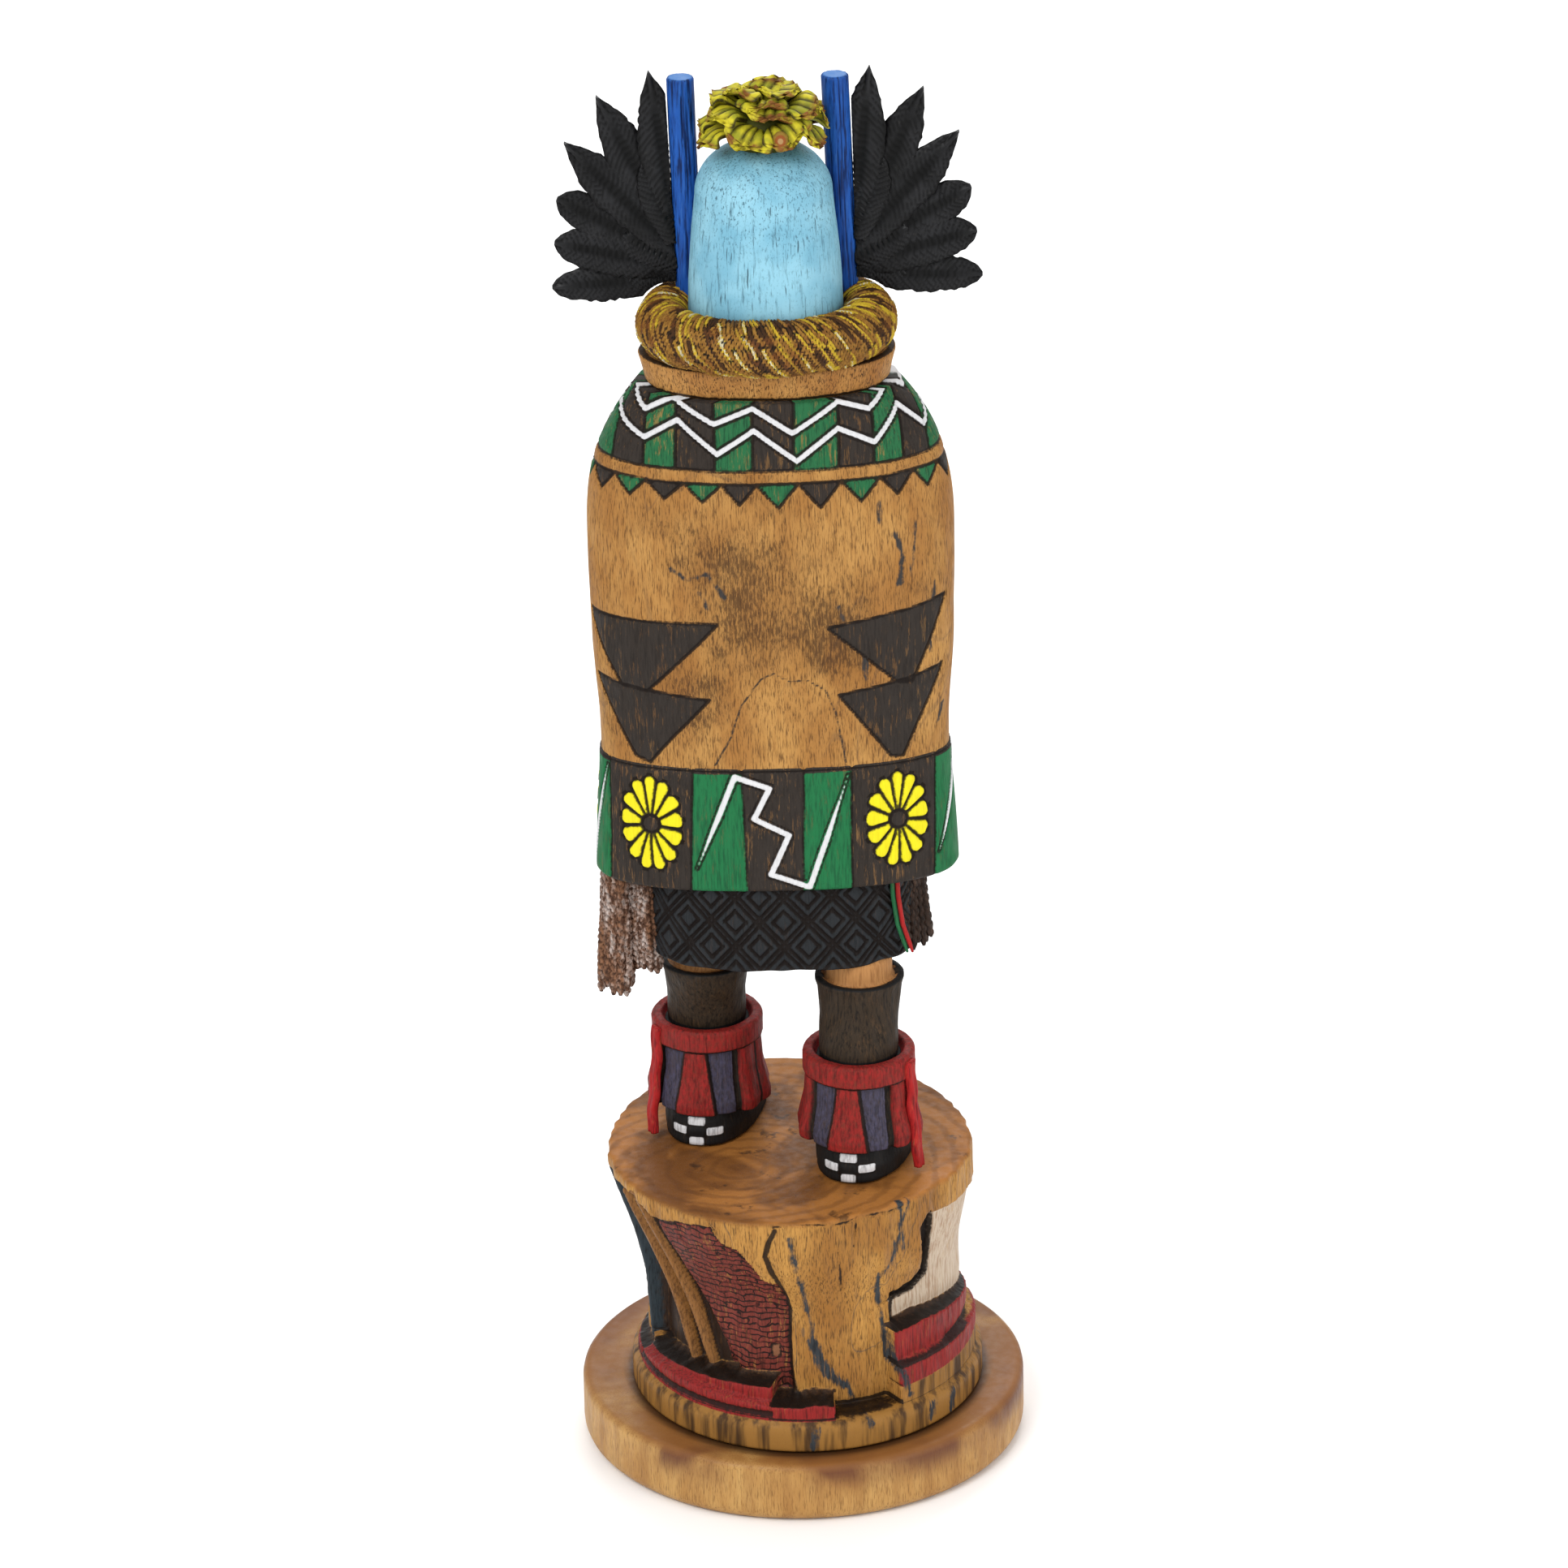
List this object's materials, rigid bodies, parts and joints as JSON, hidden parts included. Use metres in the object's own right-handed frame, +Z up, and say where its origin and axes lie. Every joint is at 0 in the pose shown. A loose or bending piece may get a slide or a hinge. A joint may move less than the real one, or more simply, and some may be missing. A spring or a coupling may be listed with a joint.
{
  "type": "carved kachina doll",
  "caption": "Carved cottonwood kachina doll in a painted shawl, with crow wings and a flower tuft on its blue mask, on a carved stump and a turned disc.",
  "frame": {"origin": "middle of the flat underside of the turned disc", "axes": "+Z up through the standing figure, +Y the way the mask and toes face, +X towards the wing and rod on the right when the doll is seen from behind"},
  "size_m": [0.087, 0.087, 0.2778],
  "materials": {
    "disc_wood": "satin",
    "carved_wood": "satin",
    "wing_paint": "satin",
    "rod_paint": "satin",
    "petal_paint": "matte"
  },
  "bodies": {
    "root": {"base_disc": "disc_wood", "carved_figure": "carved_wood", "wing_left": "wing_paint", "wing_right": "wing_paint", "rod_left": "rod_paint", "rod_right": "rod_paint", "flower_tuft": "petal_paint"}
  },
  "joints": []
}
